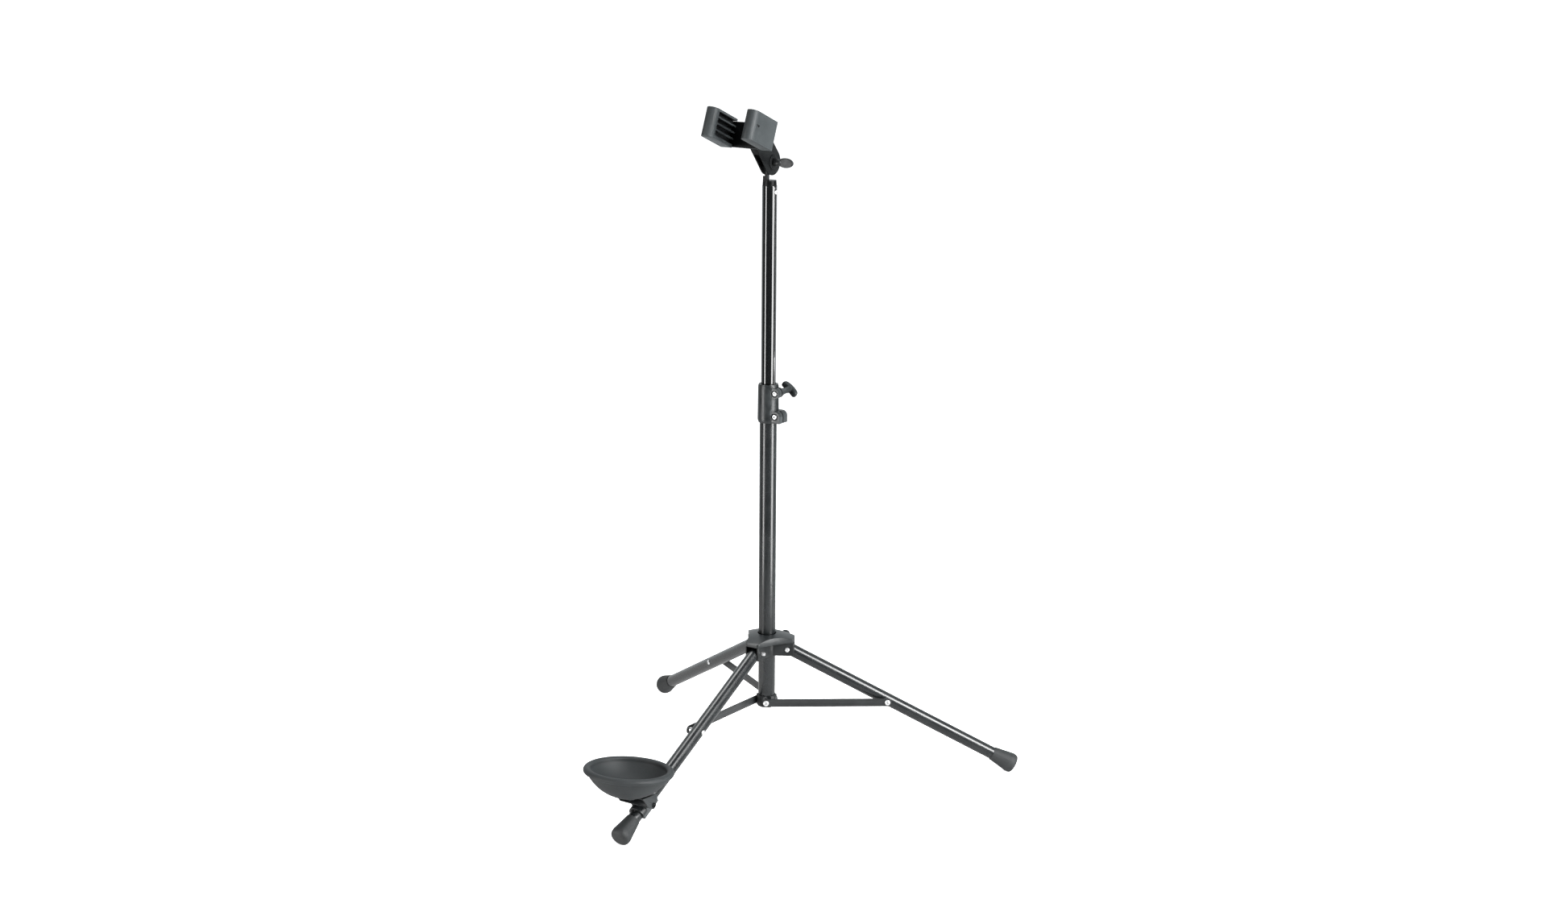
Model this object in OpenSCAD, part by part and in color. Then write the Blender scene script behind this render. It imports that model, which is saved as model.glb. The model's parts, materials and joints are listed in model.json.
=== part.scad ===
// Folding tripod instrument stand: fork rest on a telescopic column, bowl on the front leg.
// The origin is on the floor under the column axis. +Z is up, the bowl leg points to -Y.

/* [Column] */
// Outer diameter of the lower column tube
lower_tube_d = 25; // [24:0.5:26]
// Outer diameter of the upper column tube
upper_tube_d = 21.4; // [21:0.1:22]
// Wall thickness of both column tubes
column_wall = 1.2; // [1:0.1:1.3]
// Height of the lower tube's bottom end above the floor
column_foot_z = 97.5; // [96:0.5:98]
// Height of the lower tube's top end
lower_tube_top = 555; // [550:1:558]
// Length of the upper tube
upper_tube_len = 420; // [400:5:430]
// Height of the upper tube's top end as set
upper_tube_top = 870.6; // [840:0.1:900]

/* [Tripod] */
// Angle of the open legs below the horizontal
leg_angle = 27.3; // [26.8:0.1:27.8]
// Outer diameter of the leg tubes
leg_d = 18.5; // [18:0.1:18.6]
// Wall thickness of the leg tubes
leg_wall = 1.2; // [1:0.1:1.5]
// Radius of the leg pivots from the column axis
pivot_r = 30.6; // [30.4:0.1:31]
// Height of the leg pivots
pivot_z = 185.5; // [185:0.1:186]
// Distance from the leg pivot to the sole of the foot
leg_reach = 381.5; // [379:0.5:383]
// Distance from the leg pivot to the brace pivot
brace_on_leg = 168.2; // [166:0.1:170]
// Height of the brace pivots on the ring at the column's foot
ring_z = 102.8; // [102:0.1:104]

/* [Head] */
// Height of the head pivot
head_z = 904; // [902:1:906]
// Upward tilt of the fork prongs
fork_tilt = 21.7; // [20:0.1:24]
// Clear gap between the two pads
fork_gap = 48; // [46:1:52]
// Length of a pad along its prong
pad_len = 59; // [56:1:62]
// Thickness of a pad
pad_t = 18.4; // [18:0.1:19]
// Height of a pad
pad_h = 41.4; // [40:0.1:43]

/* [Bowl] */
// Inner radius of the bowl's opening
bowl_r = 52.5; // [51:0.5:54]
// Depth of the bowl outside, from its rim's centre to its base
bowl_depth = 38.2; // [37:0.1:40]
// Tilt of the bowl towards the column
bowl_tilt = 6.3; // [5:0.1:8]
// Wall thickness of the bowl
bowl_wall = 3; // [2.5:0.1:3.5]

/* [Hidden] */
$fn = 64;

FRONT = -90;                 // direction of the bowl leg
RIGHT = 30;
BACK = 150;
slip = 0.05;                 // radial clearance of a sliding or turning fit
e = 0.1;                     // overlap that keeps cuts clean

lower_bore = lower_tube_d - 2 * column_wall;
leg_r = leg_d / 2;
hub_bottom = 176;
cap_z = 196;
cap_top = 209;
arm_w = 23;
arm_reach = 41;
screw_z = 184.3;               // height of the hub's thumb screw
arm_slot = leg_d + 0.5;
leg_tail = 4.7;                // tube length inboard of the pivot
foot_len = 36.5;
foot_neck_d = 20.5;
foot_end_d = 29;
brace_y = -14.6;             // side of the brace's mid plane, from the leg's own plane
brace_t = 2;
brace_w = 12;
collar_bottom = 528.2;
collar_top = 584.5;
collar_r = 15;
lug_x = 16.4;
ear_y = 5;                    // rear face of the upper lug's back ear
head_y = -6.2;                // seat of the lug screws' heads
knob_wing = 8;                // thickness of its wing at the middle
lug_z = [538.5, 572.5];
lug_depth = 9.5;
nut_y = 9.3;                  // inner face of the lower lug's nut
screw_r = 2.5;
cheek_x = 4;                 // inner face of the head bracket's cheeks
sheet = 2;
fork_back = [-52.8, 946.7];  // y and z of the pads' back end, mid height
clamp_s = [299, 335];        // the clamp's stretch of the leg, from the leg pivot
clamp_r = 12.5;
hinge_s = 322;
hinge_n = 13;
hinge_half = 22.8;           // half width of the clamp's hinge barrel
bowl_mid = [-345.6, 105];    // y and z of the bowl's opening centre

function leg_point(s, n) = [pivot_r + s * cos(leg_angle) + n * sin(leg_angle),
                            pivot_z - s * sin(leg_angle) + n * cos(leg_angle)];
hinge_at = leg_point(hinge_s, hinge_n);

module tube(d, wall, len) {
    difference() {
        cylinder(d = d, h = len);
        translate([0, 0, -e]) cylinder(d = d - 2 * wall, h = len + 2 * e);
    }
}

// A rivet along +X from x = 0, with its head at x = len
module rivet(r, len, head_r, head_t) {
    rotate([0, 90, 0]) {
        cylinder(r = r, h = len);
        translate([0, 0, len]) dome(head_r, head_t);
    }
}

// A shallow domed head with a centre dimple, flat side down
module dome(r, t) {
    rotate_extrude() polygon([[0, 0], [r, 0], [r, t * 0.35], [r * 0.88, t * 0.72], [r * 0.66, t * 0.96],
                              [r * 0.4, t], [r * 0.27, t * 0.6], [0, t * 0.5]]);
}

// Places its children in the frame of a leg that points in direction az:
// x runs along the leg from its pivot, z is up from it, y is to its left
module on_leg(az) {
    rotate([0, 0, az]) translate([pivot_r, 0, pivot_z]) rotate([0, leg_angle, 0]) children();
}

// Places its children at a leg's pivot without the slope
module at_pivot(az) {
    rotate([0, 0, az]) translate([pivot_r, 0, pivot_z]) children();
}

// ---- column ----

module lower_tube() {
    color("#22262a") translate([0, 0, column_foot_z]) tube(lower_tube_d, column_wall, lower_tube_top - column_foot_z);
}

module column_plug() {
    color("#2b3032") {
        translate([0, 0, column_foot_z - 1.8]) cylinder(d = lower_tube_d, h = 1.8);
        translate([0, 0, column_foot_z]) cylinder(d = lower_bore, h = 8);
    }
}

// Ring round the tube with one flat tangential ear for each brace
module brace_ring() {
    ring_h = 16.8;
    ring_r = lower_tube_d / 2 + 1;
    ear_y = brace_y + brace_t / 2 + 0.3;
    color("#2e3335") difference() {
        translate([0, 0, ring_z - 7.2]) union() {
            cylinder(r = ring_r, h = ring_h);
            for (az = [FRONT, RIGHT, BACK]) rotate([0, 0, az])
                translate([-7, ear_y, 0]) cube([14, 6, ring_h]);
        }
        translate([0, 0, ring_z - 12]) cylinder(d = lower_tube_d, h = ring_h + 8);
        for (az = [FRONT, RIGHT, BACK]) rotate([0, 0, az])
            translate([0, -lower_tube_d / 2, ring_z]) rotate([90, 0, 0]) cylinder(r = 2, h = 6);
    }
}

// One shouldered rivet for each brace, set in the ring's ear
module ring_rivets() {
    color("silver") for (az = [FRONT, RIGHT, BACK]) rotate([0, 0, az])
        translate([0, -lower_tube_d / 2, ring_z]) rotate([90, 0, 0]) {
            cylinder(r = 2, h = -brace_y + brace_t / 2 + 0.1 - lower_tube_d / 2);
            translate([0, 0, -brace_y + brace_t / 2 + 0.1 - lower_tube_d / 2]) dome(4.3, 1.9);
        }
}

// A lug's outline from the front: round, or square below where it joins the collar's foot
module lug_plan(square_foot) {
    square_h = square_foot ? 9.5 : 7.5;
    translate([0, -square_h]) square([lug_x, square_h + 7.5]);
    translate([lug_x + (square_foot ? 1.1 : -0.7), 0]) circle(r = 7.5);
    if (square_foot) translate([0, -square_h]) square([lug_x + 8.6, square_h]);
}

module collar_lug(z, back, square_foot) {
    translate([0, back, z]) rotate([90, 0, 0]) linear_extrude(lug_depth + back) lug_plan(square_foot);
}

module collar() {
    mid = lower_tube_top;
    color("#4c5355") difference() {
        union() {
            translate([0, 0, collar_bottom]) cylinder(r1 = 14.2, r2 = collar_r + 0.6, h = 4);
            translate([0, 0, collar_bottom + 4]) cylinder(r1 = collar_r + 0.6, r2 = collar_r, h = 50);
            translate([0, 0, collar_top - 4]) cylinder(r1 = collar_r, r2 = collar_r - 0.8, h = 4);
            collar_lug(lug_z[0], 12.2, true);
            collar_lug(lug_z[1], ear_y, false);
        }
        translate([0, 0, collar_bottom - e]) cylinder(d = lower_tube_d, h = mid - collar_bottom + e);
        translate([0, 0, mid - e]) cylinder(d = upper_tube_d + 2 * slip, h = 40);
        translate([8, -0.4, collar_bottom - 1]) cube([20, 2, collar_top - collar_bottom + 2]);
        for (z = lug_z) translate([lug_x, -20, z]) rotate([-90, 0, 0]) {
            cylinder(r = screw_r, h = 40);
            cylinder(r = 5, h = 20 + head_y);
        }
        translate([lug_x, nut_y, lug_z[0]]) rotate([-90, 0, 0]) cylinder(r = 4.7, h = 4, $fn = 6);
        translate([lug_x, ear_y, lug_z[1]]) rotate([-90, 0, 0]) cylinder(r = 6.4, h = 12);
    }
}

// Hexagon screws of the two lugs: the upper one ends in the wing knob
module collar_screws() {
    ends = [12.6, 20.8];
    color("silver") for (i = [0, 1]) translate([lug_x, head_y, lug_z[i]]) rotate([-90, 0, 0]) {
        cylinder(r = screw_r, h = ends[i] - head_y);
        translate([0, 0, -3.4]) cylinder(r = 4.2, h = 3.4, $fn = 6);
        translate([0, 0, -3.9]) cylinder(r = 3.3, h = 0.5);
    }
}

module collar_nut() {
    color("silver") translate([lug_x, nut_y, lug_z[0]]) rotate([-90, 0, 0]) difference() {
        cylinder(r = 4.4, h = 3.6, $fn = 6);
        translate([0, 0, -e]) cylinder(r = screw_r, h = 5);
    }
}

// Curved bar in plan: its hollow side down with the middle at y = 0, its tips at x = +-13
module wing_plan() {
    half = 13;
    hollow = 3;                    // drop of the tips on the hollow side
    crown = 6;                     // drop of the tips on the outer side
    inner_r = (half * half + hollow * hollow) / (2 * hollow);
    outer_r = (half * half + crown * crown) / (2 * crown);
    offset(r = 2) offset(delta = -2) intersection() {
        difference() {
            translate([0, knob_wing - outer_r]) circle(r = outer_r, $fn = 96);
            translate([0, -inner_r]) circle(r = inner_r, $fn = 96);
        }
        translate([-half, -20]) square([2 * half, 40]);
    }
}

// A waisted neck with a curved bar across its end; z is the screw's axis
module wing_knob(neck, bore_r, bore_len) {
    difference() {
        union() {
            cylinder(r1 = 6.2, r2 = 4.4, h = 13);
            translate([0, 0, 13]) cylinder(r1 = 4.4, r2 = 4.8, h = neck - 13 + 1);
            translate([0, 0, neck]) rotate([90, 0, 0]) linear_extrude(7.4, center = true) wing_plan();
        }
        translate([0, 0, -e]) cylinder(r = bore_r, h = bore_len + e);
    }
}

module collar_knob() {
    color("#4c5355") translate([lug_x, ear_y + 0.2, lug_z[1]]) rotate([-90, 0, 0]) rotate([0, 0, 38])
        wing_knob(25.6, screw_r + slip, 16);
}

// Bush under the upper tube that keeps it centred in the lower one
module guide_bush() {
    bottom = upper_tube_top - upper_tube_len;
    core_r = upper_tube_d / 2 - column_wall - slip;
    color("#303537") translate([0, 0, bottom - 14]) difference() {
        union() {
            cylinder(d = lower_bore - 2 * slip, h = 13.9);
            cylinder(r = core_r, h = 28);
        }
        translate([0, 0, -e]) cylinder(r = 5, h = 40);
    }
}

module upper_tube() {
    color("#16191c") translate([0, 0, upper_tube_top - upper_tube_len]) difference() {
        tube(upper_tube_d, column_wall, upper_tube_len);
        translate([0, 0, upper_tube_len - 9]) rotate([0, 90, 0]) cylinder(r = 1.6, h = 15);
    }
}

// Plug with one ear that the head bolt passes through
module swivel_fitting() {
    ear_t = 4.4;
    shoulder = upper_tube_top + 7.5;
    color("#2b3032") difference() {
        union() {
            translate([0, 0, upper_tube_top - 22]) cylinder(d = upper_tube_d - 2 * column_wall, h = 22);
            translate([0, 0, upper_tube_top]) cylinder(d1 = upper_tube_d - 1, d2 = upper_tube_d - 2, h = 7.5);
            rotate([90, 0, 90]) linear_extrude(ear_t, center = true) {
                translate([0, head_z]) circle(r = 8);
                polygon([[-9.4, shoulder - 2], [-4.4, shoulder - 2], [-4, shoulder + 8], [-1.5, shoulder + 14],
                         [4, head_z - 6.9], [8, head_z], [-8, head_z], [-9.4, shoulder + 12]]);
            }
            translate([-5.3, -9.4, shoulder - 2]) cube([5, 4.6, 8.4]);
        }
        translate([-20, 0, head_z]) rotate([0, 90, 0]) cylinder(r = 3 + slip, h = 40);
        translate([2, 0, upper_tube_top - 9]) rotate([0, 90, 0]) cylinder(r = 1.6, h = 15);
    }
}

module swivel_rivet() {
    color("silver") translate([2, 0, upper_tube_top - 9]) rivet(1.6, upper_tube_d / 2 - 2, 3, 1.4);
}

// ---- hub ----

// The three arms in plan, with rounded ends
module arm_plan(w, reach, corner) {
    for (az = [FRONT, RIGHT, BACK]) rotate(az) {
        translate([0, -w / 2]) square([reach - corner, w]);
        translate([0, corner - w / 2]) square([reach, w - 2 * corner]);
        for (side = [-1, 1]) translate([reach - corner, side * (w / 2 - corner)]) circle(r = corner, $fn = 48);
    }
}

module hub_body() {
    color("#3a4043") difference() {
        translate([0, 0, hub_bottom]) linear_extrude(cap_z - hub_bottom) {
            arm_plan(arm_w, arm_reach, 1.8);
            circle(r = 15);
            translate([-6.5, 12]) square([13, 16]);
        }
        translate([0, 0, hub_bottom - 1]) cylinder(d = lower_tube_d + 2 * slip, h = 40);
        for (az = [FRONT, RIGHT, BACK]) {
            rotate([0, 0, az]) translate([18.6, -arm_slot / 2, hub_bottom - 1]) cube([40, arm_slot, 40]);
            at_pivot(az) rotate([90, 0, 0]) cylinder(r = 2.5, h = 40, center = true);
        }
        translate([0, 10, screw_z]) rotate([-90, 0, 0]) {
            cylinder(r = 3 + slip, h = 30);
            translate([0, 0, 7]) cylinder(r = 5.8, h = 5, $fn = 6);
        }
        translate([-5.02, 17, screw_z]) cube([10.04, 5, 12]);
    }
}

module hub_cap() {
    blend_r = 103;                   // radius of the hollow sides between the arms
    blend_at = 128.5;
    dome_r = 120;
    color("#6a7173") intersection() {
        translate([0, 0, cap_z]) linear_extrude(16) difference() {
            hull() arm_plan(arm_w + 0.4, arm_reach + 0.2, 4);
            for (az = [FRONT, RIGHT, BACK]) rotate(az + 60) translate([blend_at, 0]) circle(r = blend_r, $fn = 180);
            circle(d = lower_tube_d + 2.6);
        }
        translate([0, 0, cap_top - dome_r]) rotate_extrude($fn = 96) intersection() {
            circle(r = dome_r, $fn = 360);
            translate([0, dome_r - 30]) square([60, 40]);
        }
    }
}

// Pivot rivets of the three legs: a wide head on one side, a narrow closed end on the other
module hub_rivets() {
    half = arm_w / 2 + 0.1;
    color("silver") for (az = [FRONT, RIGHT, BACK]) at_pivot(az) rotate([0, 0, 90]) {
        rivet(2.5, half, 3, 5.4);
        mirror([1, 0, 0]) rivet(2.5, half, 3.5, 1.6);
    }
}

module hub_nut() {
    color("silver") translate([0, 17.2, screw_z]) rotate([-90, 0, 0]) difference() {
        cylinder(r = 5.75, h = 4.6, $fn = 6);
        translate([0, 0, -e]) cylinder(r = 3 + slip, h = 6);
    }
}

module hub_screw() {
    color("#303537") translate([0, 0, screw_z]) rotate([-90, 0, 0]) {
        translate([0, 0, lower_tube_d / 2 + 0.1]) cylinder(r = 3, h = 26);
        translate([0, 0, 28.2]) rotate([0, 0, 90]) wing_knob(22.8, 1, 0.5);
    }
}

// ---- legs ----

module leg(az) {
    color("#22262a") on_leg(az) difference() {
        translate([-leg_tail, 0, 0]) rotate([0, 90, 0]) tube(leg_d, leg_wall, leg_reach - 4 + leg_tail);
        rotate([90, 0, 0]) cylinder(r = 2.5 + slip, h = 40, center = true);
        translate([brace_on_leg, 0, 0]) rotate([90, 0, 0]) cylinder(r = 2, h = 40, center = true);
        rotate([0, -leg_angle, 0]) translate([0, -50, -pivot_z - 99]) cube([500, 100, 100.5]);
    }
}

// Plastic bush in the leg's inner end, which the pivot rivet passes through
module leg_plug(az) {
    color("#303537") on_leg(az) difference() {
        translate([-leg_tail, 0, 0]) rotate([0, 90, 0]) cylinder(d = leg_d - 2 * leg_wall, h = 18);
        rotate([90, 0, 0]) cylinder(r = 2.5 + slip, h = 40, center = true);
    }
}

// The brace rivet's shank through the leg, its far head and the spacer sleeve
module leg_rivet(az) {
    color("silver") on_leg(az) translate([brace_on_leg, 0, 0]) rotate([0, 0, 90]) {
        translate([-leg_r, 0, 0]) rotate([0, 90, 0]) cylinder(r = 2, h = leg_d);
        translate([leg_r, 0, 0]) rivet(2, 0.1, 3.6, 1.7);
        translate([brace_y + brace_t / 2 + 1.4, 0, 0]) rotate([0, 90, 0])
            cylinder(r = 3.6, h = -brace_y - brace_t / 2 - 1.4 - leg_r);
    }
}

module foot(az) {
    color("#2f3436") difference() {
        on_leg(az) translate([leg_reach - foot_len, 0, 0]) rotate([0, 90, 0]) difference() {
            rotate_extrude() polygon([[0, 0], [foot_neck_d / 2 - 0.8, 0], [foot_neck_d / 2, 0.8],
                [foot_end_d / 2 - 0.7, foot_len - 12], [foot_end_d / 2, foot_len - 8],
                [foot_end_d / 2 - 0.3, foot_len - 3.5], [foot_end_d / 2 - 1.7, foot_len],
                [foot_end_d / 2 - 4.5, foot_len + 1.5], [0, foot_len + 2]]);
            translate([0, 0, -e]) cylinder(r = leg_r, h = foot_len - 4 + e);
        }
        translate([-600, -600, -50]) cube([1200, 1200, 50]);
    }
}

// ---- braces ----

brace_inner = [0, ring_z];
brace_outer = leg_point(brace_on_leg, 0);
brace_len = norm(brace_outer - brace_inner);
brace_angle = atan2(brace_outer[1] - brace_inner[1], brace_outer[0]);

module on_brace(az) {
    rotate([0, 0, az]) translate([0, brace_y, ring_z]) rotate([0, -brace_angle, 0]) children();
}

module brace(az) {
    color("#2e3335") on_brace(az) rotate([90, 0, 0]) translate([0, 0, -brace_t / 2]) linear_extrude(brace_t) difference() {
        union() {
            translate([0, -brace_w / 2]) square([brace_len, brace_w]);
            circle(d = brace_w);
            translate([brace_len, 0]) circle(d = brace_w);
        }
        circle(r = 2 + slip);
        translate([brace_len, 0]) circle(r = 2);
    }
}

// Outer rivet head, carried by the brace
module brace_rivet(az) {
    color("silver") on_brace(az) translate([brace_len, 0, 0]) rotate([90, 0, 0]) {
        translate([0, 0, -brace_t / 2]) cylinder(r = 2, h = brace_t);
        translate([0, 0, brace_t / 2]) dome(4.1, 1.9);
        translate([0, 0, -brace_t / 2 - 1]) cylinder(r = 3.4, h = 1);
    }
}

// ---- head ----

// Places its children at the fork's back end: x along the prongs, z up from them, y to the left side
module on_fork() {
    translate([0, fork_back[0], fork_back[1]]) rotate([0, 0, -90]) rotate([0, -fork_tilt, 0]) children();
}

function fork_point(a, b) = [fork_back[0] - a * cos(fork_tilt) + b * sin(fork_tilt),
                             fork_back[1] + a * sin(fork_tilt) + b * cos(fork_tilt)];

// Side view of a head cheek: a round end on the pivot, then an elbow up to the fork plate
module cheek_plan() {
    end_r = 18.7;
    along = [-0.653, 0.757];         // from the pivot up to the elbow
    across = [0.757, 0.653];
    pivot = [0, head_z];
    translate(pivot) circle(r = end_r);
    polygon([pivot - across * end_r, pivot - across * (end_r - 1.2) + along * 44, fork_point(-sheet, -19.5),
             fork_point(-sheet, 17.5), fork_point(-sheet - 28, 17.5), pivot + across * end_r + along * 26,
             pivot + across * end_r]);
}

module head_bracket() {
    color("#26292b") difference() {
        union() {
            for (x = [-cheek_x - sheet, cheek_x]) translate([x, 0, 0])
                rotate([90, 0, 90]) linear_extrude(sheet) cheek_plan();
            intersection() {
                translate([-cheek_x - e, 0, 0]) rotate([90, 0, 90]) linear_extrude(2 * cheek_x + 2 * e) difference() {
                    cheek_plan();
                    translate([2.6, 2]) cheek_plan();
                }
                translate([-10, -70, head_z + 13]) cube([20, 60, 60]);
            }
        }
        translate([-20, 0, head_z]) rotate([0, 90, 0]) cylinder(r = 3 + slip, h = 40);
    }
}

// Back plate with two prongs that carry the pads
module fork_plate() {
    prong_x = fork_gap / 2 + pad_t / 2;
    color("#26292b") on_fork() {
        translate([-sheet, -prong_x - 1.5, -19.5]) cube([sheet, 2 * prong_x + 3, 37]);
        for (side = [-1, 1]) translate([-e, side * prong_x - 1.5, -13]) cube([46, 3, 26]);
    }
}

module pad_plan() {
    hull() {
        square([1, pad_t]);
        translate([pad_len - pad_t / 2, pad_t / 2]) circle(d = pad_t, $fn = 48);
    }
}

// A pad's inner face has a row of long recesses, its outer face one slot
module pad(side) {
    ribs = 4;
    pitch = 8.9;
    color("#4c5355") on_fork() scale([1, side, 1]) translate([0, fork_gap / 2, 0]) difference() {
        translate([0, 0, -pad_h / 2]) linear_extrude(pad_h) pad_plan();
        translate([-1, pad_t / 2 - 1.5, -13]) cube([47, 3, 26]);
        for (i = [0 : ribs - 1]) translate([-1, -1, -pad_h / 2 + 4.6 + i * pitch]) cube([48, 8.2, 7]);
        translate([pad_len - 16.5, pad_t - 1.4, 0]) cube([7, 3, 2.8]);
    }
}

module left_pad() { mirror([1, 0, 0]) pad(1); }

module right_pad() { pad(1); }

module head_bolt() {
    color("silver") translate([-cheek_x - sheet - 1.2, 0, head_z]) rotate([0, 90, 0]) {
        cylinder(r = 3, h = 20);
        translate([0, 0, -4]) cylinder(r = 5.4, h = 4, $fn = 6);
    }
}

module head_washers() {
    color("silver") for (x = [-cheek_x - sheet - 1.2, cheek_x + sheet + 0.1]) translate([x, 0, head_z])
        rotate([0, 90, 0]) difference() {
            cylinder(r = 10.3, h = 1.1);
            translate([0, 0, -e]) cylinder(r = 3 + slip, h = 2);
        }
}

// Thin washers between the swivel's ear and the two cheeks
module friction_washers() {
    color("#303537") for (x = [-cheek_x + 0.05, 2.25]) translate([x, 0, head_z]) rotate([0, 90, 0]) difference() {
        cylinder(r = 7.5, h = 1.7);
        translate([0, 0, -e]) cylinder(r = 3 + slip, h = 2);
    }
}

// Oval paddle knob on the bolt's threaded end: a round neck with a flat wing through it
module head_knob() {
    wing_at = 16.2;
    color("#6a7173") translate([cheek_x + sheet + 1.3, 0, head_z]) rotate([0, 90, 0]) difference() {
        union() {
            cylinder(r = 5.2, h = 9.5);
            rotate([90, 0, 0]) translate([0, 0, -2.3]) linear_extrude(4.6)
                translate([0, wing_at]) scale([7, 16]) circle(r = 1, $fn = 96);
        }
        translate([0, 0, -e]) cylinder(r = 3 + slip, h = 5.8);
    }
}

// ---- bowl and its mount ----

// Snap-on saddle round the leg with a hinge barrel on top and a boss for the lock screw
module bowl_clamp() {
    span = clamp_s[1] - clamp_s[0];
    color("#3a4043") on_leg(FRONT) difference() {
        union() {
            translate([clamp_s[0], 0, 0]) rotate([0, 90, 0]) cylinder(r = clamp_r, h = span);
            translate([clamp_s[0], -clamp_r, -5]) cube([span, 2 * clamp_r, 5]);
            translate([hinge_s, 0, hinge_n]) rotate([90, 0, 0]) cylinder(r = 3.6, h = 2 * hinge_half, center = true);
            translate([hinge_s - 3.6, -clamp_r, 0]) cube([7.2, 2 * clamp_r, hinge_n]);
            translate([309, -clamp_r - 3, 0]) rotate([90, 0, 0]) cylinder(r = 6, h = 8, center = true);
        }
        translate([clamp_s[0] - 1, 0, 0]) rotate([0, 90, 0]) cylinder(r = leg_r + slip, h = span + 2);
        translate([clamp_s[0] - 1, -30, -30]) cube([span + 2, 60, 25]);
        translate([hinge_s, 0, hinge_n]) rotate([90, 0, 0]) cylinder(r = 1.8 + slip, h = 60, center = true);
        translate([309, 0, 0]) rotate([90, 0, 0]) cylinder(r = 2.5 + slip, h = 40);
    }
}

// Small shoe that the lock screw presses on the tube
module clamp_insert() {
    color("silver") on_leg(FRONT) translate([309, -clamp_r - 7.2, 0]) rotate([90, 0, 0]) difference() {
        cylinder(r = 4.6, h = 0.8);
        translate([0, 0, -e]) cylinder(r = 2.5 + slip, h = 2);
    }
}

module clamp_knob() {
    start = leg_r + 0.15;
    color("#4c5355") on_leg(FRONT) translate([309, -start, 0]) rotate([90, 0, 0]) {
        cylinder(r = 2.5, h = 14);
        translate([0, 0, clamp_r + 8.2 - start]) cylinder(r1 = 9, r2 = 8, h = 7, $fn = 48);
    }
}

// Places its children in the bowl's own frame: z along its axis, origin at the opening's centre
module on_bowl() {
    translate([0, bowl_mid[0], bowl_mid[1]]) rotate([-bowl_tilt, 0, 0]) children();
}

base_r = 19;                 // radius of the bowl's flat base
web_z = -bowl_depth - 2.1;   // underside of the plate under the bowl

function bowl_yz(y, z) = [bowl_mid[0] + y * cos(bowl_tilt) + z * sin(bowl_tilt),
                          bowl_mid[1] - y * sin(bowl_tilt) + z * cos(bowl_tilt)];
function leg_yz(s, n) = [-leg_point(s, n)[0], leg_point(s, n)[1]];

module bowl_cheek_plan() {
    difference() {
        union() {
            polygon([bowl_yz(2, web_z + 2), bowl_yz(37, web_z + 2), leg_yz(hinge_s - 8, hinge_n - 1),
                     leg_yz(hinge_s - 3, hinge_n - 4.5), leg_yz(hinge_s + 3, hinge_n - 4.5),
                     leg_yz(332, hinge_n + 3.8)]);
            translate(leg_yz(hinge_s, hinge_n)) circle(r = 5.5);
        }
        translate(leg_yz(hinge_s, hinge_n)) circle(r = 1.8 + slip);
    }
}

// Channel bracket: two cheeks, the plate under the bowl and a stiffening strap
module bowl_bracket() {
    half = hinge_half + 0.2 + sheet;
    color("#26292b") {
        for (x = [-half, half - sheet]) translate([x, 0, 0]) rotate([90, 0, 90]) linear_extrude(sheet) bowl_cheek_plan();
        on_bowl() translate([0, 0, web_z]) linear_extrude(sheet) difference() {
            union() {
                translate([-half, 2]) square([2 * half, 30]);
                translate([-13, -11]) square([26, 20]);
            }
            for (x = [-8, 8]) translate([x, 0]) circle(r = 2);
        }
        on_leg(FRONT) translate([321, -half, hinge_n + 3.9]) cube([11, 2 * half, sheet]);
    }
}

module bowl_hinge_bolt() {
    half = hinge_half + 0.2 + sheet;
    color("silver") on_leg(FRONT) translate([hinge_s, 0, hinge_n]) rotate([0, 0, 90]) {
        rivet(1.8, half + 0.1, 3.6, 2.4);
        mirror([1, 0, 0]) rivet(1.8, half + 0.1, 3.6, 2);
    }
}

module bowl_screws() {
    color("silver") on_bowl() for (x = [-8, 8]) translate([x, 0, web_z]) {
        cylinder(r = 2, h = 4);
        mirror([0, 0, 1]) dome(3.6, 1.6);
    }
}

// Turned bowl with a thick rolled rim and a flat base
module bowl() {
    out_r = 65.8;
    out_z = sqrt(out_r * out_r - base_r * base_r) - bowl_depth;
    in_r = 60;
    in_z = in_r + bowl_wall - bowl_depth;
    color("#4c5355") on_bowl() difference() {
        rotate_extrude($fn = 96) difference() {
            union() {
                intersection() {
                    translate([0, out_z]) circle(r = out_r, $fn = 240);
                    translate([0, -bowl_depth]) square([100, bowl_depth - 5]);
                }
                polygon([[bowl_r - 4, -6.8], [59.6, -6.8], [61.4, -6.1], [62.4, -5], [62.8, -3.4], [62.4, -1.6],
                         [61.2, 0], [59.4, 1.1], [57.3, 1.4], [55, 0.9], [53.4, -0.1], [bowl_r + 0.3, -1.2],
                         [bowl_r, -2.6], [bowl_r - 1, -5]]);
            }
            translate([0, in_z]) intersection() {
                circle(r = in_r, $fn = 240);
                translate([0, -in_r]) square([200, in_r - in_z - 2.6]);
            }
            translate([0, -5]) square([bowl_r - 2, 10]);
        }
        for (x = [-8, 8]) translate([x, 0, web_z]) cylinder(r = 2, h = 4.1);
    }
}

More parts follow.
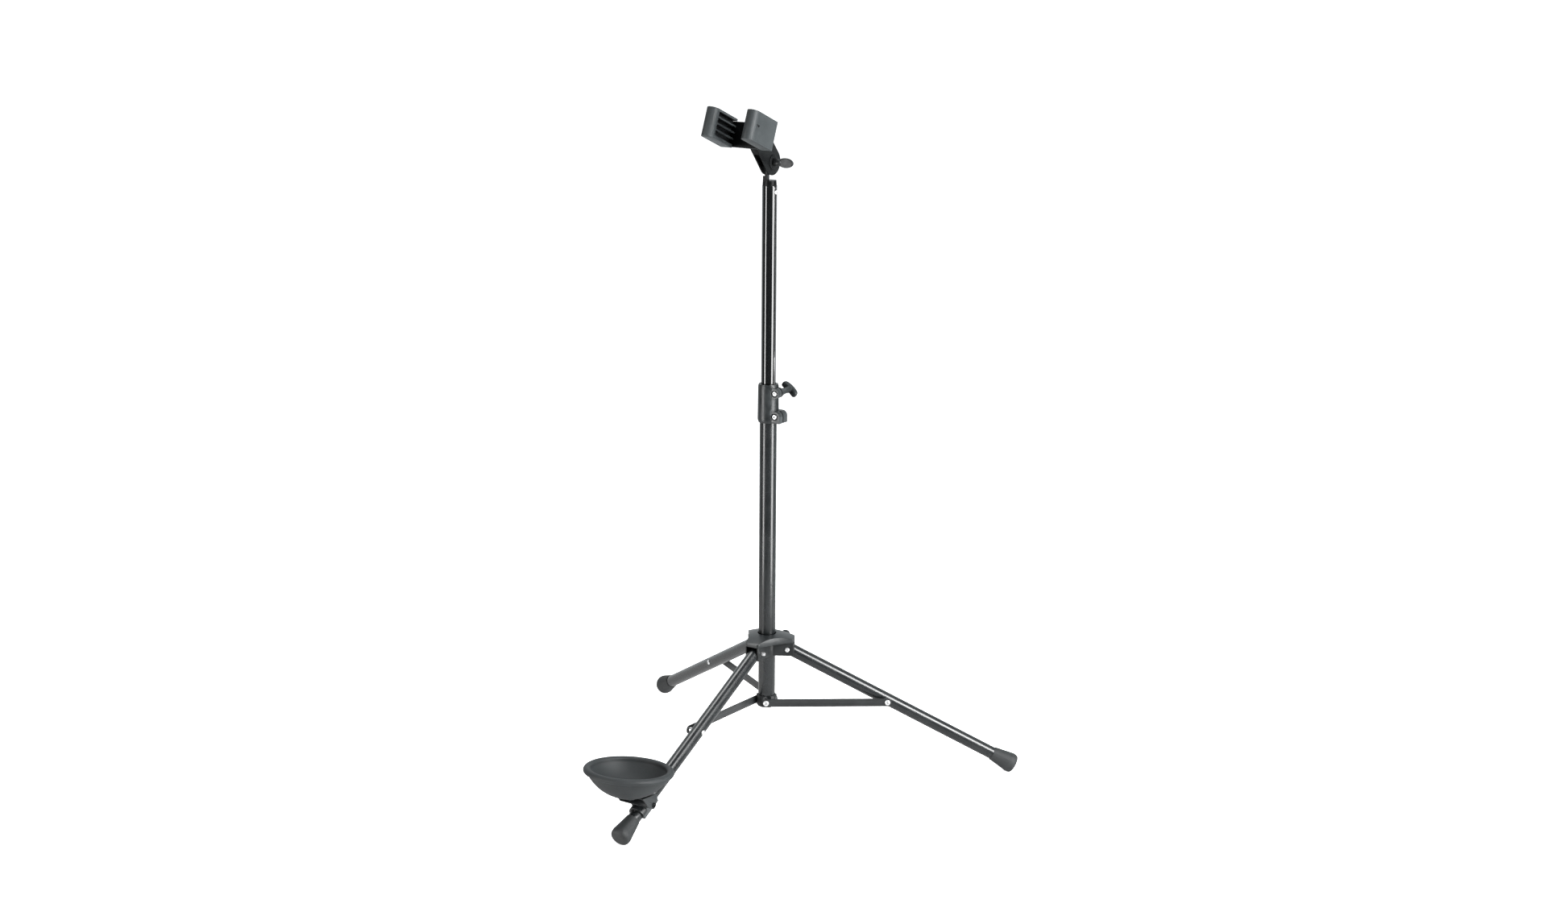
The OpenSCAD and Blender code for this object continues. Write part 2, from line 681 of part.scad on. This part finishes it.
lower_tube();
column_plug();
brace_ring();
ring_rivets();
collar();
collar_screws();
collar_nut();
collar_knob();
guide_bush();
upper_tube();
swivel_fitting();
swivel_rivet();
hub_body();
hub_cap();
hub_rivets();
hub_nut();
hub_screw();
leg(FRONT);  // leg_front
leg(RIGHT);  // leg_right
leg(BACK);  // leg_back
leg_plug(FRONT);  // leg_plug_front
leg_plug(RIGHT);  // leg_plug_right
leg_plug(BACK);  // leg_plug_back
leg_rivet(FRONT);  // leg_rivet_front
leg_rivet(RIGHT);  // leg_rivet_right
leg_rivet(BACK);  // leg_rivet_back
foot(FRONT);  // foot_front
foot(RIGHT);  // foot_right
foot(BACK);  // foot_back
brace(FRONT);  // brace_front
brace(RIGHT);  // brace_right
brace(BACK);  // brace_back
brace_rivet(FRONT);  // brace_rivet_front
brace_rivet(RIGHT);  // brace_rivet_right
brace_rivet(BACK);  // brace_rivet_back
head_bracket();
fork_plate();
left_pad();
right_pad();
head_bolt();
head_washers();
friction_washers();
head_knob();
bowl_clamp();
clamp_insert();
clamp_knob();
bowl_bracket();
bowl_hinge_bolt();
bowl_screws();
bowl();
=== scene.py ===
"""Folding tripod stand for a long wind instrument: finishes, turned pieces, light and camera
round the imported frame. Metres, +Z up, the bowl leg points to -Y."""
import json
import math

import bmesh
import bpy
from mathutils import Matrix, Vector


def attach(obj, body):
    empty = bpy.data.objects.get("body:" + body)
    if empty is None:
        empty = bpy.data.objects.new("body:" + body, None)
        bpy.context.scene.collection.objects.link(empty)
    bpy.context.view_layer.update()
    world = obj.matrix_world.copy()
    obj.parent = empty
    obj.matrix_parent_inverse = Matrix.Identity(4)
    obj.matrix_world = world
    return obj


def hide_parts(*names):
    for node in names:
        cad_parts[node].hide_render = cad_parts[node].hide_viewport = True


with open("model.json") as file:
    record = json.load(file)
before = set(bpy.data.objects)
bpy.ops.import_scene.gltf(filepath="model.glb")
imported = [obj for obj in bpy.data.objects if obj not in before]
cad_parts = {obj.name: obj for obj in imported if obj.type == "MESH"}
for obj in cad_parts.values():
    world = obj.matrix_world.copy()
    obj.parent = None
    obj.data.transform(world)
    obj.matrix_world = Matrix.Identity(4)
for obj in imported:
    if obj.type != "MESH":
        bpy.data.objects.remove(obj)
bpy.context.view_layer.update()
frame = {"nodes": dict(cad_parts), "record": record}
nodes = frame["nodes"]
scene = bpy.context.scene

MM = 0.001
LEGS = {"front": -90, "right": 30, "back": 150}      # name of each leg and its direction

# dimensions repeated from the CAD part, in millimetres and degrees
LEG_ANGLE = 27.3
PIVOT = (30.6, 185.5)                  # radius and height of the leg pivots
LEG_REACH = 381.5
FOOT_LEN = 36.5
BOWL_MID = (-345.6, 105.0)             # y and z of the bowl's opening centre
BOWL_TILT = 6.3
BOWL_DEPTH = 38.2
HEAD_KNOB_FOOT = (7.3, 0.0, 904.0)     # where each knob starts: x, y and z
COLLAR_KNOB_FOOT = (16.4, 5.2, 572.5)
HUB_KNOB_FOOT = (0.0, 28.2, 184.3)
COLLAR_KNOB_TURN = 38                  # how far its wing is turned from level
COLLAR_SCREWS = ((538.5, 18.8), (572.5, 27.0))   # height and length of each
SCREW_SEAT_Y = -6.2                    # where the collar screws' heads sit


# ---- materials ----

def wire(tree, source, socket, target, name):
    tree.links.new(source.outputs[socket], target.inputs[name])


def noise(tree, coords, scale, detail, rough=0.55):
    node = tree.nodes.new("ShaderNodeTexNoise")
    node.inputs["Scale"].default_value = scale
    node.inputs["Detail"].default_value = detail
    node.inputs["Roughness"].default_value = rough
    wire(tree, coords, "Object", node, "Vector")
    return node


def spread(tree, source, socket, low, high, start=0.3, end=0.7):
    """The source's values from start to end, mapped to low to high"""
    node = tree.nodes.new("ShaderNodeMapRange")
    for name, value in (("From Min", start), ("From Max", end), ("To Min", low), ("To Max", high)):
        node.inputs[name].default_value = value
    wire(tree, source, socket, node, "Value")
    return node


def painted_edge_highlight(tree, ramp, fine, edge):
    """The ramp's colour, with a painted highlight in the edge colour on sharp edges, broken up by the
    fine grain
    """
    geometry = tree.nodes.new("ShaderNodeNewGeometry")
    sharp = spread(tree, geometry, "Pointiness", 0.0, 0.85, 0.515, 0.6)
    blend = tree.nodes.new("ShaderNodeMix")
    blend.data_type = "RGBA"
    blend.inputs["B"].default_value = (*edge, 1)
    broken = tree.nodes.new("ShaderNodeMath")
    broken.operation = "MULTIPLY"
    wire(tree, sharp, "Result", broken, 0)
    wire(tree, spread(tree, fine, "Fac", 0.35, 1.0), "Result", broken, 1)
    wire(tree, broken, "Value", blend, "Factor")
    wire(tree, ramp, "Color", blend, "A")
    return blend, "Result"


def painted_corner_shade(tree, colour, reach):
    """The colour with painted shade: darkened in corners, recesses and between parts, where other
    surfaces are within reach
    """
    hollow = tree.nodes.new("ShaderNodeAmbientOcclusion")
    hollow.samples = 6
    hollow.inputs["Distance"].default_value = reach
    deep = tree.nodes.new("ShaderNodeMix")
    deep.data_type = "RGBA"
    deep.blend_type = "MULTIPLY"
    deep.inputs["Factor"].default_value = 1.0
    shade = tree.nodes.new("ShaderNodeValToRGB")
    shade.color_ramp.elements[0].position = 0.25
    shade.color_ramp.elements[0].color = (0.12, 0.12, 0.12, 1)
    shade.color_ramp.elements[1].position = 0.8
    wire(tree, hollow, "AO", shade, "Fac")
    wire(tree, colour[0], colour[1], deep, "A")
    wire(tree, shade, "Color", deep, "B")
    return deep, "Result"


def finish(name, dark, light, rough, grain, depth, patch=45.0, metallic=0.0, ior=1.5,
           edge=None, pits=None, crevice=0.006):
    """A surface with mottled colour, uneven gloss and a fine grain, with painted shade in its corners
    and, where an edge colour is given, a painted highlight on its sharp edges.
    dark, light: the two colours; rough: least and most roughness; grain, patch: scales per metre
    of the grain and of the uneven patches; depth: height of the grain in metres; edge: colour of
    the painted highlight on sharp edges; pits: scale per metre of small dimples; crevice: reach in
    metres of the painted shade in corners"""
    mat = bpy.data.materials.new(name)
    mat.use_nodes = True
    tree = mat.node_tree
    shader = tree.nodes["Principled BSDF"]
    shader.inputs["Metallic"].default_value = metallic
    shader.inputs["IOR"].default_value = ior
    coords = tree.nodes.new("ShaderNodeTexCoord")
    broad = noise(tree, coords, patch, 4.0)
    fine = noise(tree, coords, grain, 3.0, 0.6)
    ramp = tree.nodes.new("ShaderNodeValToRGB")
    ramp.color_ramp.elements[0].position = 0.35
    ramp.color_ramp.elements[0].color = (*dark, 1)
    ramp.color_ramp.elements[1].position = 0.68
    ramp.color_ramp.elements[1].color = (*light, 1)
    both = tree.nodes.new("ShaderNodeMath")
    both.operation = "MULTIPLY_ADD"
    both.inputs[1].default_value = 0.45
    wire(tree, fine, "Fac", both, 0)
    half = spread(tree, broad, "Fac", 0.17, 0.38)
    wire(tree, half, "Result", both, 2)
    wire(tree, both, "Value", ramp, "Fac")
    colour = (ramp, "Color")
    # painted highlight: sharp edges are made lighter in the edge colour
    if edge:
        colour = painted_edge_highlight(tree, ramp, fine, edge)
    # painted shade: the colour is darkened in corners, recesses and between parts
    deep, socket = painted_corner_shade(tree, colour, crevice)
    wire(tree, deep, socket, shader, "Base Color")
    wire(tree, spread(tree, broad, "Fac", rough[0], rough[1]), "Result", shader, "Roughness")
    bump = tree.nodes.new("ShaderNodeBump")
    bump.inputs["Distance"].default_value = depth
    bump.inputs["Strength"].default_value = 1.0
    wire(tree, fine, "Fac", bump, "Height")
    last = bump
    if pits:
        cells = tree.nodes.new("ShaderNodeTexVoronoi")
        cells.inputs["Scale"].default_value = pits
        wire(tree, coords, "Object", cells, "Vector")
        last = tree.nodes.new("ShaderNodeBump")
        last.inputs["Distance"].default_value = depth * 4
        wire(tree, spread(tree, cells, "Distance", 0.0, 1.0, 0.05, 0.5), "Result", last, "Height")
        wire(tree, bump, "Normal", last, "Normal")
    wire(tree, last, "Normal", shader, "Normal")
    return mat


# each finish has painted shade in its corners; those given an edge colour also have a painted highlight
# on sharp edges
GLOSS_BLACK = finish("gloss_black_enamel", (0.0022, 0.0025, 0.0027), (0.004, 0.0045, 0.0048),
                     (0.05, 0.08), 700, 3e-6, patch=30, ior=1.65)
SATIN_BLACK = finish("satin_black_enamel", (0.007, 0.0082, 0.0088), (0.013, 0.0150, 0.016),
                     (0.22, 0.30), 2600, 6e-6, patch=35, ior=1.55)
BRACE_BLACK = finish("brace_enamel", (0.009, 0.0105, 0.011), (0.018, 0.020, 0.021),
                     (0.34, 0.46), 2200, 1.2e-5, patch=60, edge=(0.05, 0.052, 0.054))
BRACKET_BLACK = finish("bracket_powder_coat", (0.0012, 0.0014, 0.0015), (0.003, 0.0034, 0.0036),
                       (0.30, 0.42), 1900, 2.5e-5, patch=70, edge=(0.05, 0.054, 0.056), ior=1.2,
                       crevice=0.014)
GREY_PLASTIC = finish("grained_plastic", (0.005, 0.006, 0.0064), (0.026, 0.0302, 0.032),
                      (0.28, 0.42), 1500, 7e-5, patch=80, edge=(0.06, 0.066, 0.069), ior=1.45)
PALE_PLASTIC = finish("smooth_plastic", (0.010, 0.012, 0.0128), (0.018, 0.021, 0.0222),
                      (0.30, 0.40), 3000, 1.2e-5, patch=60, ior=1.45)
DARK_PLASTIC = finish("dark_plastic", (0.005, 0.006, 0.0064), (0.0105, 0.0124, 0.0131),
                      (0.4, 0.52), 2600, 2e-5, patch=80, ior=1.42)
BOWL_PLASTIC = finish("bowl_plastic", (0.013, 0.0156, 0.0168), (0.022, 0.0258, 0.0275),
                      (0.56, 0.68), 1500, 4e-5, patch=40, ior=1.42, crevice=0.004)
PAD_RUBBER = finish("pad_rubber", (0.0165, 0.0194, 0.0206), (0.03, 0.0349, 0.0367),
                    (0.46, 0.56), 3200, 2e-5, patch=35, edge=(0.085, 0.095, 0.099), ior=1.34,
                    crevice=0.024)
FOOT_RUBBER = finish("foot_rubber", (0.007, 0.0084, 0.009), (0.0165, 0.0193, 0.0205),
                     (0.56, 0.7), 2400, 4e-5, patch=90, pits=900)
STEEL = finish("bright_zinc", (0.70, 0.71, 0.72), (0.9, 0.9, 0.9),
               (0.22, 0.38), 1800, 8e-6, patch=300, metallic=0.8, crevice=0.003)

BY_SLOT = {"black_enamel": SATIN_BLACK, "gloss_enamel": GLOSS_BLACK, "black_bracket": BRACKET_BLACK,
           "bright_steel": STEEL, "grey_plastic": GREY_PLASTIC, "pale_plastic": PALE_PLASTIC,
           "dark_plastic": DARK_PLASTIC, "bowl_plastic": BOWL_PLASTIC, "pad_rubber": PAD_RUBBER,
           "foot_rubber": FOOT_RUBBER}
OWN = {"bowl_hinge_bolt": BRACKET_BLACK, "hub_body": DARK_PLASTIC,
       "brace_front": BRACE_BLACK, "brace_right": BRACE_BLACK, "brace_back": BRACE_BLACK}


def paint(obj, mat):
    obj.data.materials.clear()
    obj.data.materials.append(mat)


for part in frame["record"]["subparts"]:
    name = part["node"]
    paint(nodes[name], OWN.get(name, BY_SLOT[part["material_slot"]]))


# ---- rounded edges on the CAD pieces ----

# width in millimetres of each piece's rounding
ROUNDED = {"collar": 0.9, "hub_body": 0.7, "hub_cap": 1.1, "brace_ring": 0.7, "column_plug": 0.5,
           "swivel_fitting": 0.7, "head_bracket": 0.6, "fork_plate": 0.5, "left_pad": 1.3,
           "right_pad": 1.3, "bowl_clamp": 0.8, "clamp_knob": 1.0, "bowl_bracket": 0.6,
           "collar_nut": 0.3, "hub_nut": 0.4, "head_bolt": 0.4, "head_washers": 0.25,
           "upper_tube": 0.3, "lower_tube": 0.3, "brace_front": 0.35, "brace_right": 0.35,
           "brace_back": 0.35, "friction_washers": 0.2, "clamp_insert": 0.2}

# flat pieces whose faces are joined before they are rounded
PLATES = ("head_bracket", "fork_plate", "bowl_bracket", "brace_front", "brace_right", "brace_back")

for name, width in ROUNDED.items():
    obj = nodes[name]
    weld = obj.modifiers.new("weld", "WELD")
    weld.merge_threshold = 3e-6
    if name in PLATES:
        flat = obj.modifiers.new("flat", "DECIMATE")
        flat.decimate_type = "DISSOLVE"
        flat.angle_limit = math.radians(0.6)
    bevel = obj.modifiers.new("bevel", "BEVEL")
    bevel.width = width * MM
    bevel.segments = 3
    bevel.limit_method = "ANGLE"
    bevel.angle_limit = math.radians(32)
    bevel.harden_normals = True
    for face in obj.data.polygons:
        face.use_smooth = True


# ---- new pieces ----

def turned(profile, segments, place):
    """A closed solid of revolution. profile: (radius, height) pairs in mm from one end of the
    axis to the other; place: the matrix from its own frame to the stand's"""
    bm = bmesh.new()
    rings = []
    for radius, height in profile:
        if radius < 1e-6:
            rings.append([bm.verts.new((0, 0, height * MM))])
        else:
            rings.append([bm.verts.new((radius * MM * math.cos(2 * math.pi * k / segments),
                                        radius * MM * math.sin(2 * math.pi * k / segments),
                                        height * MM)) for k in range(segments)])
    for low, high in zip(rings, rings[1:]):
        for k in range(segments):
            n = (k + 1) % segments
            if len(low) == 1:
                bm.faces.new((low[0], high[n], high[k]))
            elif len(high) == 1:
                bm.faces.new((low[k], low[n], high[0]))
            else:
                bm.faces.new((low[k], low[n], high[n], high[k]))
    bmesh.ops.transform(bm, matrix=place, verts=bm.verts)
    return bm


def as_object(name, bm, mat):
    bmesh.ops.recalc_face_normals(bm, faces=bm.faces)
    mesh = bpy.data.meshes.new(name)
    bm.to_mesh(mesh)
    bm.free()
    for face in mesh.polygons:
        face.use_smooth = True
    obj = bpy.data.objects.new(name, mesh)
    scene.collection.objects.link(obj)
    mesh.materials.append(mat)
    return obj


def arc(radius, middle, start, end, steps):
    """Points on a circle in the (radius, height) plane whose centre is on the axis; degrees"""
    return [(radius * math.cos(math.radians(start + (end - start) * k / steps)),
             middle + radius * math.sin(math.radians(start + (end - start) * k / steps)))
            for k in range(steps + 1)]


def smooth_path(points, steps):
    """A Catmull-Rom curve through the points, with its ends kept"""
    out = []
    for i in range(len(points) - 1):
        a = points[max(i - 1, 0)]
        b, c = points[i], points[i + 1]
        d = points[min(i + 2, len(points) - 1)]
        for k in range(steps):
            t = k / steps
            out.append(tuple(0.5 * (2 * b[j] + (c[j] - a[j]) * t
                                    + (2 * a[j] - 5 * b[j] + 4 * c[j] - d[j]) * t * t
                                    + (3 * b[j] - a[j] - 3 * c[j] + d[j]) * t ** 3)
                             for j in (0, 1)))
    return out + [points[-1]]


def bowl():
    """Turned bowl: a flat base, a round body, a thick rolled rim and a fine lip inside it"""
    out_r, in_r, base_r, rim_under = 65.8, 60.0, 19.0, -6.8
    middle = math.sqrt(out_r ** 2 - base_r ** 2) - BOWL_DEPTH

    def lean(r, z):
        return math.degrees(math.asin((z - middle) / r))

    body = arc(out_r, middle, lean(out_r, -BOWL_DEPTH), lean(out_r, rim_under), 34)
    rim = smooth_path([(58.2, -6.75), (59.8, -6.8), (61.4, -6.1), (62.45, -4.9), (62.8, -3.4),
                       (62.4, -1.6), (61.2, 0.0), (59.4, 1.1), (57.3, 1.4), (55.0, 0.9),
                       (53.6, -0.05), (52.85, -1.1), (52.5, -2.5)], 4)
    lip = [(52.45, -3.2), (52.3, -4.1)]
    inside = arc(in_r, middle, lean(in_r, -5.0), -90, 40)
    profile = [(0.0, -BOWL_DEPTH), (base_r - 1.2, -BOWL_DEPTH)] + body + rim + lip + inside[:-1]
    profile.append((0.0, middle - in_r))
    place = (Matrix.Translation((0, BOWL_MID[0] * MM, BOWL_MID[1] * MM))
             @ Matrix.Rotation(math.radians(-BOWL_TILT), 4, "X"))
    obj = as_object("turned_bowl", turned(profile, 176, place), BOWL_PLASTIC)
    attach(obj, "bowl")
    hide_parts("bowl")


def foot(leg, azimuth):
    """Rubber foot: a mouth ring, a flared body with rows of fine dimples and a domed end"""
    socket_r, socket_deep = 9.3, 30.0
    rings = 46
    mouth = [(socket_r, socket_deep), (socket_r, 0.0), (9.45, 0.0), (9.9, 0.08), (10.15, 0.35),
             (10.25, 0.9)]
    body = [(10.27 + 3.55 * k / rings, 1.2 + 23.3 * k / rings) for k in range(rings + 1)]
    body += smooth_path([(13.9, 25.0), (14.3, 26.8), (14.48, 28.2)], 3)[:-1]
    tip = smooth_path([(14.5, 29.0), (14.45, 31.2), (14.1, 33.6), (13.2, 35.6), (11.6, 37.1),
                       (9.0, 38.0), (5.0, 38.4), (0.0, 38.5)], 3)
    profile = [(0.0, socket_deep)] + mouth + body + tip
    turn = (Matrix.Rotation(math.radians(azimuth), 4, "Z")
            @ Matrix.Translation((PIVOT[0] * MM, 0, PIVOT[1] * MM))
            @ Matrix.Rotation(math.radians(LEG_ANGLE), 4, "Y")
            @ Matrix.Translation(((LEG_REACH - FOOT_LEN) * MM, 0, 0))
            @ Matrix.Rotation(math.radians(90), 4, "Y"))
    bm = turned(profile, 132, Matrix.Identity(4))
    around, pitch, depth = 33, 2.3, 0.16           # dimples in a turn, row spacing and depth
    first, last = 5.0, 33.5                        # where the dimples start and stop
    for v in bm.verts:
        radius = math.hypot(v.co.x, v.co.y)
        along = v.co.z / MM
        if radius > 10.2 * MM and first < along < last:
            angle = math.atan2(v.co.y, v.co.x) * around
            wave = math.cos(angle) * math.cos(2 * math.pi * along / pitch)
            fade = min(1.0, (along - first) / 3.0, (last - along) / 2.0)
            inset = depth * MM * fade * max(0.0, wave)
            v.co.x *= 1 - inset / radius
            v.co.y *= 1 - inset / radius
    bmesh.ops.transform(bm, matrix=turn, verts=bm.verts)
    cut = bmesh.ops.bisect_plane(bm, geom=bm.verts[:] + bm.edges[:] + bm.faces[:], dist=1e-6,
                                 plane_co=(0, 0, 0), plane_no=(0, 0, -1), clear_outer=True)
    rim = [g for g in cut["geom_cut"] if isinstance(g, bmesh.types.BMEdge)]
    bmesh.ops.holes_fill(bm, edges=rim)
    obj = as_object(f"dimpled_foot_{leg}", bm, FOOT_RUBBER)
    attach(obj, f"{leg}_leg")
    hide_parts(f"foot_{leg}")


def join(bm, other):
    """Adds the second shape to the first"""
    mesh = bpy.data.meshes.new("joined")
    other.to_mesh(mesh)
    other.free()
    bm.from_mesh(mesh)
    bpy.data.meshes.remove(mesh)


def wing(bm, neck, place):
    """Adds a rounded bar across the end of a knob's neck, bent back at its tips"""
    half, depth = 14.2, 5.4                        # half its length and half its thickness
    rings, points = 30, 28
    loops = []
    for i in range(rings + 1):
        u = -math.cos(math.pi * i / rings)
        inner, outer = neck - 2.0 - 2.2 * u * u, neck + 8.0 - 4.2 * u * u
        round_off = max(0.02, 1 - abs(u) ** 7) ** 0.42
        mid, tall = (inner + outer) / 2, (outer - inner) / 2 * round_off
        loop = []
        for k in range(points):
            a = 2 * math.pi * k / points
            c, s = math.cos(a), math.sin(a)
            y = depth * round_off * math.copysign(abs(c) ** 0.62, c)
            z = mid + tall * math.copysign(abs(s) ** 0.7, s)
            loop.append(bm.verts.new(place @ Vector((half * u * MM, y * MM, z * MM))))
        loops.append(loop)
    for low, high in zip(loops, loops[1:]):
        for k in range(points):
            n = (k + 1) % points
            bm.faces.new((low[k], low[n], high[n], high[k]))
    bm.faces.new(loops[0])
    bm.faces.new(loops[-1])


def wing_knob(name, node, body, mat, neck, place, core):
    """A waisted neck with a bent bar across its end. neck: its length in mm; core: the profile of
    its bore or of its own screw"""
    profile = smooth_path([(5.8, 0.1), (6.15, 0.5), (6.15, 1.8), (5.8, 2.6), (5.4, 5.0), (4.8, 9.0),
                           (4.45, 13.0), (4.55, neck - 8), (5.0, neck - 3.5), (5.4, neck - 0.5),
                           (4.6, neck + 2.5)], 4)
    profile = core + profile + [(0.0, neck + 2.6)]
    bm = turned(profile, 56, place)
    wing(bm, neck, place)
    obj = as_object(name, bm, mat)
    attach(obj, body)
    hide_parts(node)


def collar_screws():
    """Round heads with a socket, sunk in the collar's two lugs"""
    head = [(2.45, 0.0), (3.75, 0.05), (3.8, 2.4), (3.5, 3.2), (2.8, 3.7), (1.9, 3.85), (1.55, 3.3),
            (1.5, 2.5), (0.0, 2.4)]
    outwards = Matrix.Rotation(math.pi / 2, 4, "X")
    bm = bmesh.new()
    for height, length in COLLAR_SCREWS:
        seat = Matrix.Translation((COLLAR_KNOB_FOOT[0] * MM, SCREW_SEAT_Y * MM, height * MM))
        join(bm, turned([(0.0, -length), (2.45, -length)] + head, 48, seat @ outwards))
    obj = as_object("socket_head_screws", bm, STEEL)
    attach(obj, "column")
    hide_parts("collar_screws")


def paddle_knob():
    """The head's knob: a round neck that runs into an oval thumb paddle"""
    bore_r, bore_deep = 3.1, 5.9
    middle, half_long, half_high = 19.2, 13.0, 7.0          # the paddle's place and size
    along_x = Matrix.Translation(Vector(HEAD_KNOB_FOOT) * MM) @ Matrix.Rotation(math.pi / 2, 4, "Y")
    neck = [(0.0, bore_deep), (bore_r, bore_deep), (bore_r, 0.05), (4.9, 0.05), (5.2, 0.4)]
    neck += smooth_path([(5.2, 3.0), (5.15, 6.0), (4.9, 8.5), (4.2, 10.5), (3.0, 12.2), (1.5, 13.2)], 4)
    neck.append((0.0, 13.4))
    bm = turned(neck, 56, along_x)
    # a disc of radius 1, stretched to an oval; its thickness stays in mm
    side = [(0.0, -1.8), (0.5, -1.8), (0.82, -1.75), (0.93, -1.5), (0.98, -1.0), (0.995, -0.5),
            (1.0, 0.0)]
    profile = side + [(r, -t) for r, t in reversed(side[:-1])]
    flat = (along_x @ Matrix.Translation((0, 0, middle * MM)) @ Matrix.Rotation(math.pi / 2, 4, "X")
            @ Matrix.Diagonal((half_high, half_long, 1.0, 1.0)))
    join(bm, turned(smooth_path(profile, 3), 112, flat))
    obj = as_object("paddle_knob", bm, DARK_PLASTIC)
    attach(obj, "head_knob")
    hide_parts("head_knob")


bowl()
for leg, azimuth in LEGS.items():
    foot(leg, azimuth)
along_y = Matrix.Rotation(-math.pi / 2, 4, "X")
bore = [(0.0, 16.2), (2.6, 16.2), (2.6, 0.1)]
wing_knob("collar_wing_knob", "collar_knob", "collar_knob", GREY_PLASTIC, 25.6,
          Matrix.Translation(Vector(COLLAR_KNOB_FOOT) * MM) @ along_y
          @ Matrix.Rotation(math.radians(COLLAR_KNOB_TURN), 4, "Z"), bore)
screw = [(0.0, -15.5), (2.4, -15.5), (2.9, -15.0), (2.9, 0.1)]
wing_knob("hub_wing_screw", "hub_screw", "hub_screw", DARK_PLASTIC, 22.8,
          Matrix.Translation(Vector(HUB_KNOB_FOOT) * MM) @ along_y
          @ Matrix.Rotation(math.pi / 2, 4, "Z"), screw)
paddle_knob()
collar_screws()


# ---- floor, light and camera ----

def sheet(name, reach, height, tone, strength):
    """A level square that glows evenly. tone: its grey; strength: of its glow"""
    mesh = bpy.data.meshes.new(name)
    mesh.from_pydata([(-reach, -reach, height), (reach, -reach, height), (reach, reach, height),
                      (-reach, reach, height)], [], [(0, 1, 2, 3)])
    obj = bpy.data.objects.new(name, mesh)
    scene.collection.objects.link(obj)
    mat = bpy.data.materials.new(name)
    mat.use_nodes = True
    shader = mat.node_tree.nodes["Principled BSDF"]
    shader.inputs["Base Color"].default_value = (tone, tone, tone, 1)
    shader.inputs["Roughness"].default_value = 0.9
    shader.inputs["Specular IOR Level"].default_value = 0.0
    shader.inputs["Emission Color"].default_value = (1, 1, 1, 1)
    shader.inputs["Emission Strength"].default_value = strength
    mesh.materials.append(mat)
    obj.visible_shadow = False
    return obj


def stage():
    floor = sheet("floor", 40.0, 0.0, 0.9, 0.92)
    floor.visible_glossy = False
    # a smaller sheet just under it is all that the stand's gloss reflects of the floor
    paper = sheet("paper", 0.75, -0.002, 0.05, 0.7)
    paper.visible_camera = False
    paper.visible_diffuse = False


def softbox(name, place, aim, size, radiance):
    """A rectangular area light, not seen by the camera"""
    data = bpy.data.lights.new(name, "AREA")
    data.shape = "RECTANGLE"
    data.size, data.size_y = size
    data.energy = radiance * math.pi * size[0] * size[1]
    obj = bpy.data.objects.new(name, data)
    scene.collection.objects.link(obj)
    obj.location = place
    obj.rotation_euler = (Vector(aim) - Vector(place)).to_track_quat("-Z", "Y").to_euler()
    obj.visible_camera = False
    return obj


def toward(azimuth, distance, height):
    """A point at an azimuth in degrees round the column, from +X towards +Y"""
    a = math.radians(azimuth)
    return (distance * math.cos(a), distance * math.sin(a), height)


def lights():
    softbox("right_box", toward(CAMERA_AZIMUTH + 56, 2.6, 0.95), (0, 0, 0.6), (1.15, 4.4), 13.5)
    edge_light = softbox("left_box", toward(CAMERA_AZIMUTH - 61, 2.6, 0.35), (0, 0, 0.45),
                         (0.66, 3.2), 13.0)
    edge_light.visible_diffuse = False      # a bright edge on tubes, not a fill light
    softbox("upper_box", (2.1, -0.5, 1.8), (0.2, 0.1, 0.1), (0.8, 0.8), 22.0)
    softbox("top_box", (-0.85, 0.3, 2.7), (0, 0, 0.2), (0.9, 1.1), 9.0)


def studio():
    """White where the camera looks; it lights the stand from behind and little from the front"""
    world = bpy.data.worlds.new("studio")
    scene.world = world
    world.use_nodes = True
    tree = world.node_tree
    tree.nodes.clear()
    seen = tree.nodes.new("ShaderNodeBackground")
    seen.inputs["Color"].default_value = (1, 1, 1, 1)
    lit = tree.nodes.new("ShaderNodeBackground")
    lit.inputs["Color"].default_value = (0.93, 0.98, 1.0, 1)
    direction = tree.nodes.new("ShaderNodeTexCoord")
    behind = tree.nodes.new("ShaderNodeVectorMath")
    behind.operation = "DOT_PRODUCT"
    behind.inputs[1].default_value = -Vector(toward(CAMERA_AZIMUTH, 1, 0))
    tree.links.new(direction.outputs["Generated"], behind.inputs[0])
    wire(tree, spread(tree, behind, "Value", 0.1, 0.95, 0.1, 0.8), "Result", lit, "Strength")
    path = tree.nodes.new("ShaderNodeLightPath")
    choose = tree.nodes.new("ShaderNodeMixShader")
    output = tree.nodes.new("ShaderNodeOutputWorld")
    wire(tree, path, "Is Camera Ray", choose, "Fac")
    tree.links.new(lit.outputs["Background"], choose.inputs[1])
    tree.links.new(seen.outputs["Background"], choose.inputs[2])
    wire(tree, choose, "Shader", output, "Surface")
    scene.view_settings.view_transform = "Standard"


def add_camera(place, yaw, pitch, roll, lens):
    """Looks along +Y when the angles, in degrees, are 0; pitch is downwards and lens in mm"""
    yaw, pitch, roll = (math.radians(v) for v in (yaw, pitch, roll))
    ahead = Vector((-math.sin(yaw) * math.cos(pitch), math.cos(yaw) * math.cos(pitch),
                    -math.sin(pitch)))
    side = Vector((math.cos(yaw), math.sin(yaw), 0))
    above = side.cross(ahead)
    right = math.cos(roll) * side + math.sin(roll) * above
    up = math.cos(roll) * above - math.sin(roll) * side
    data = bpy.data.cameras.new("camera")
    data.lens = lens
    data.sensor_width = 36.0
    data.clip_end = 200.0
    camera = bpy.data.objects.new("camera", data)
    scene.collection.objects.link(camera)
    turn = Matrix((right, up, -ahead)).transposed().to_4x4()
    camera.matrix_world = Matrix.Translation(place) @ turn
    scene.camera = camera


CAMERA_AZIMUTH = -57.0                 # the camera's direction from the column
stage()
lights()
studio()
add_camera((1.8399, -2.8327, 1.3043), 32.61, 13.81, 0.437, 54.97)
